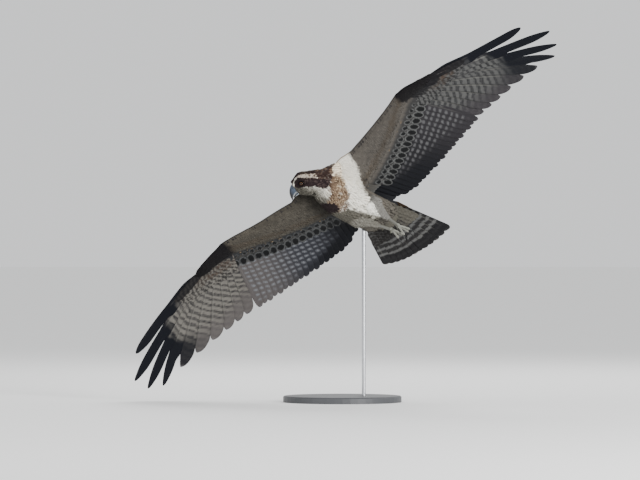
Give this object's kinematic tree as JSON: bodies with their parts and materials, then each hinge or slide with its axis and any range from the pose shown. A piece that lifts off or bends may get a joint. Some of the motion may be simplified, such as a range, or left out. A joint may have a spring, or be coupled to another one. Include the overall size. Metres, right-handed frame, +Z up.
{
  "type": "osprey",
  "caption": "Life-size still model of a young osprey banking in flight, wings spread and head turned, held by a rod on a round stand.",
  "frame": {"origin": "centre of the underside of the stand's round base", "axes": "+Z up, +X to the viewer's right and +Y away from the viewer who sees the bird as in the picture"},
  "size_m": [1.1961, 0.609, 1.0568],
  "materials": {
    "white_feather": "matte white and buff body feathers with brown streaks",
    "flight_feather": "barred grey-brown flight feathers, blackish at the tips",
    "bill_horn": "satin black horn with a blue-grey base",
    "claw_horn": "satin black horn",
    "foot_skin": "pale blue-grey scaled skin",
    "eye_glass": "polished eye with an orange iris",
    "stand_paint": "satin black painted iron",
    "stand_steel": "brushed steel rod"
  },
  "bodies": {
    "root": {"bill_lower": "bill_horn", "bill_upper": "bill_horn", "claw_left_hind": "claw_horn", "claw_left_inner": "claw_horn", "claw_left_middle": "claw_horn", "claw_left_outer": "claw_horn", "claw_right_hind": "claw_horn", "claw_right_inner": "claw_horn", "claw_right_middle": "claw_horn", "claw_right_outer": "claw_horn", "eye_left": "eye_glass", "eye_right": "eye_glass", "foot_left": "foot_skin", "foot_right": "foot_skin", "head": "white_feather", "neck": "white_feather", "shank_left": "foot_skin", "shank_right": "foot_skin", "stand_base": "stand_paint", "stand_rod": "stand_steel", "tail": "flight_feather", "thigh_left": "white_feather", "thigh_right": "white_feather", "torso": "white_feather", "wing_left": "flight_feather", "wing_right": "flight_feather"}
  },
  "joints": []
}
